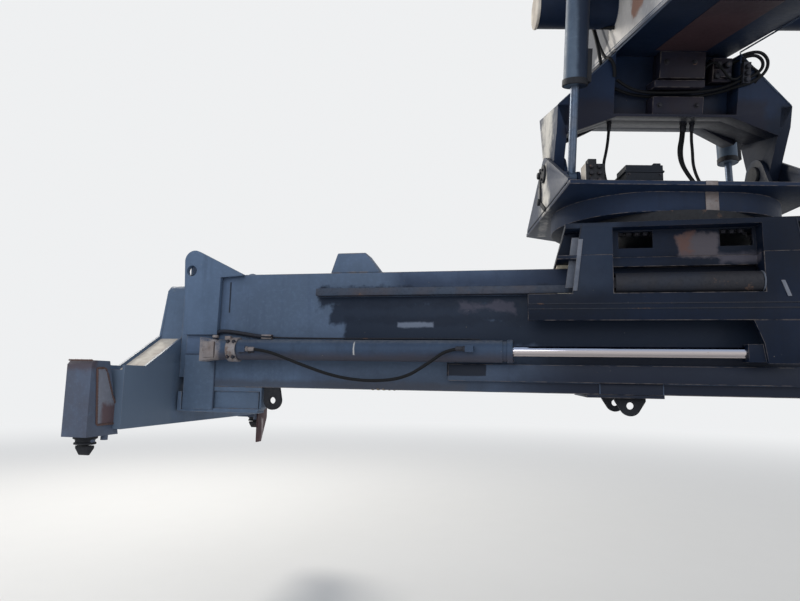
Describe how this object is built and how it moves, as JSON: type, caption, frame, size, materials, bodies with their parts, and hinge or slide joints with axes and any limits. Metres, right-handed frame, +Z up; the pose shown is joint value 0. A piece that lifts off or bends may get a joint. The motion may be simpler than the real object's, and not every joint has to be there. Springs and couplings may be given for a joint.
{
  "type": "telescopic container spreader",
  "caption": "Telescopic container spreader with twistlocks, side shift and slewing head, hung from the yoke and boom nose of a reach stacker.",
  "frame": {"origin": "centre of the boom nose's open rear section, where the boom goes on", "axes": "+X along the spreader, towards its right end as the machine's driver sees it; +Y away from the machine; +Z up. The boom points forward, up by 13.7 degrees and turned by 10.5 degrees."},
  "size_m": [6.026, 2.6499, 3.6172],
  "materials": {
    "boom_paint": "satin paint, scratched and dusty",
    "spreader_paint": "slate blue satin paint, worn, with rust and grease",
    "corner_paint": "grey-blue paint, chipped to brown rust",
    "worn_steel": "worn brown steel",
    "lock_steel": "dark greasy forging",
    "rod_chrome": "polished",
    "slide_pad": "plain off-white slide material",
    "hose_rubber": "matt",
    "box_plastic": "matt dark moulding"
  },
  "bodies": {
    "boom_nose": {"nose_box": "boom_paint", "yoke": "boom_paint", "yoke_covers": "boom_paint", "nose_tubes": "boom_paint", "damper_bracket_near": "boom_paint", "damper_bracket_far": "boom_paint", "tilt_hose_1": "hose_rubber", "tilt_hose_2": "hose_rubber", "tilt_hose_3": "hose_rubber", "tilt_hose_4": "hose_rubber"},
    "near_damper_barrel": {"damper_barrel_near": "corner_paint"},
    "near_damper_rod": {"damper_rod_near": "rod_chrome"},
    "far_damper_barrel": {"damper_barrel_far": "corner_paint"},
    "far_damper_rod": {"damper_rod_far": "rod_chrome"},
    "rotator_head": {"head_body": "boom_paint", "tilt_lugs": "boom_paint", "tilt_pins": "worn_steel", "damper_clevises": "boom_paint", "valve_block": "lock_steel", "junction_box": "box_plastic"},
    "carriage": {"saddle": "spreader_paint", "tower": "spreader_paint", "cross_tubes": "worn_steel", "slide_pads": "slide_pad", "slewing_ring": "lock_steel", "shift_rod": "rod_chrome", "rod_anchor": "spreader_paint"},
    "spreader_frame": {"main_frame": "spreader_paint", "upper_rails": "worn_steel", "lower_rails": "spreader_paint", "keel_plate": "spreader_paint", "lifting_lugs": "spreader_paint", "stop_blocks": "spreader_paint", "end_boxes": "spreader_paint", "end_ears": "lock_steel", "middle_ears": "lock_steel", "mouth_pads": "slide_pad", "shift_barrel": "spreader_paint", "barrel_brackets": "spreader_paint", "shift_hose": "hose_rubber"},
    "telescope_left": {"inner_beam_left": "spreader_paint", "end_beam_left": "spreader_paint", "corner_housings_left": "corner_paint", "guide_plate_left": "corner_paint"},
    "lock_left_near": {"twistlock_left_near": "lock_steel"},
    "lock_left_far": {"twistlock_left_far": "lock_steel"},
    "telescope_right": {"inner_beam_right": "spreader_paint", "end_beam_right": "spreader_paint", "corner_housings_right": "corner_paint", "guide_plate_right": "corner_paint"},
    "lock_right_near": {"twistlock_right_near": "lock_steel"},
    "lock_right_far": {"twistlock_right_far": "lock_steel"}
  },
  "joints": [
    {"name": "head_tilt", "type": "hinge", "parent": "boom_nose", "child": "rotator_head", "pos_m": [-0.23632, 1.27504, -0.84389], "axis": [0.9833, 0.1822, 0], "range_deg": [-45, 10], "deforming": ["tilt_hose_1", "tilt_hose_2", "tilt_hose_3", "tilt_hose_4"]},
    {"name": "near_damper_swing", "type": "hinge", "parent": "boom_nose", "child": "near_damper_barrel", "pos_m": [-0.8063, 0.5092, 0.13008], "axis": [0.9833, 0.1822, 0], "range_deg": [-5, 12]},
    {"name": "near_damper_stroke", "type": "slide", "parent": "near_damper_barrel", "child": "near_damper_rod", "axis": [-0.0403, 0.2176, -0.9752], "range_m": [-0.36, 0.12]},
    {"name": "far_damper_swing", "type": "hinge", "parent": "boom_nose", "child": "far_damper_barrel", "pos_m": [0.37193, 1.83443, 0.01455], "axis": [0.9833, 0.1822, 0], "range_deg": [-15, 8]},
    {"name": "far_damper_stroke", "type": "slide", "parent": "far_damper_barrel", "child": "far_damper_rod", "axis": [0.0087, -0.0471, -0.9989], "range_m": [-0.1, 0.3]},
    {"name": "slew", "type": "hinge", "parent": "rotator_head", "child": "carriage", "pos_m": [-0.23632, 1.27504, -1.25189], "axis": [0, 0, 1], "range_deg": [-195, 105]},
    {"name": "side_shift", "type": "slide", "parent": "carriage", "child": "spreader_frame", "axis": [1, 0, 0], "range_m": [-0.13, 1.07]},
    {"name": "telescope_left", "type": "slide", "parent": "spreader_frame", "child": "telescope_left", "axis": [-1, 0, 0], "range_m": [0, 3.066]},
    {"name": "telescope_right", "type": "slide", "parent": "spreader_frame", "child": "telescope_right", "axis": [1, 0, 0], "range_m": [0, 3.066]},
    {"name": "lock_turn_left_near", "type": "hinge", "parent": "telescope_left", "child": "lock_left_near", "pos_m": [-3.63281, 0.14554, -2.69389], "axis": [0, 0, 1], "range_deg": [0, 90]},
    {"name": "lock_turn_left_far", "type": "hinge", "parent": "telescope_left", "child": "lock_left_far", "pos_m": [-3.63281, 2.40454, -2.69389], "axis": [0, 0, 1], "range_deg": [0, 90]},
    {"name": "lock_turn_right_near", "type": "hinge", "parent": "telescope_right", "child": "lock_right_near", "pos_m": [2.22018, 0.14554, -2.69389], "axis": [0, 0, 1], "range_deg": [0, 90]},
    {"name": "lock_turn_right_far", "type": "hinge", "parent": "telescope_right", "child": "lock_right_far", "pos_m": [2.22018, 2.40454, -2.69389], "axis": [0, 0, 1], "range_deg": [0, 90]}
  ],
  "couplings": [
    {"joint": "near_damper_swing", "follows": "head_tilt", "ratio": -0.0535},
    {"joint": "near_damper_stroke", "follows": "head_tilt", "m_per_rad": 0.403},
    {"joint": "far_damper_swing", "follows": "head_tilt", "ratio": 0.2079},
    {"joint": "far_damper_stroke", "follows": "head_tilt", "m_per_rad": -0.3436},
    {"joint": "telescope_right", "follows": "telescope_left", "ratio": 1},
    {"joint": "lock_turn_left_far", "follows": "lock_turn_left_near", "ratio": 1},
    {"joint": "lock_turn_right_near", "follows": "lock_turn_left_near", "ratio": 1},
    {"joint": "lock_turn_right_far", "follows": "lock_turn_left_near", "ratio": 1}
  ]
}
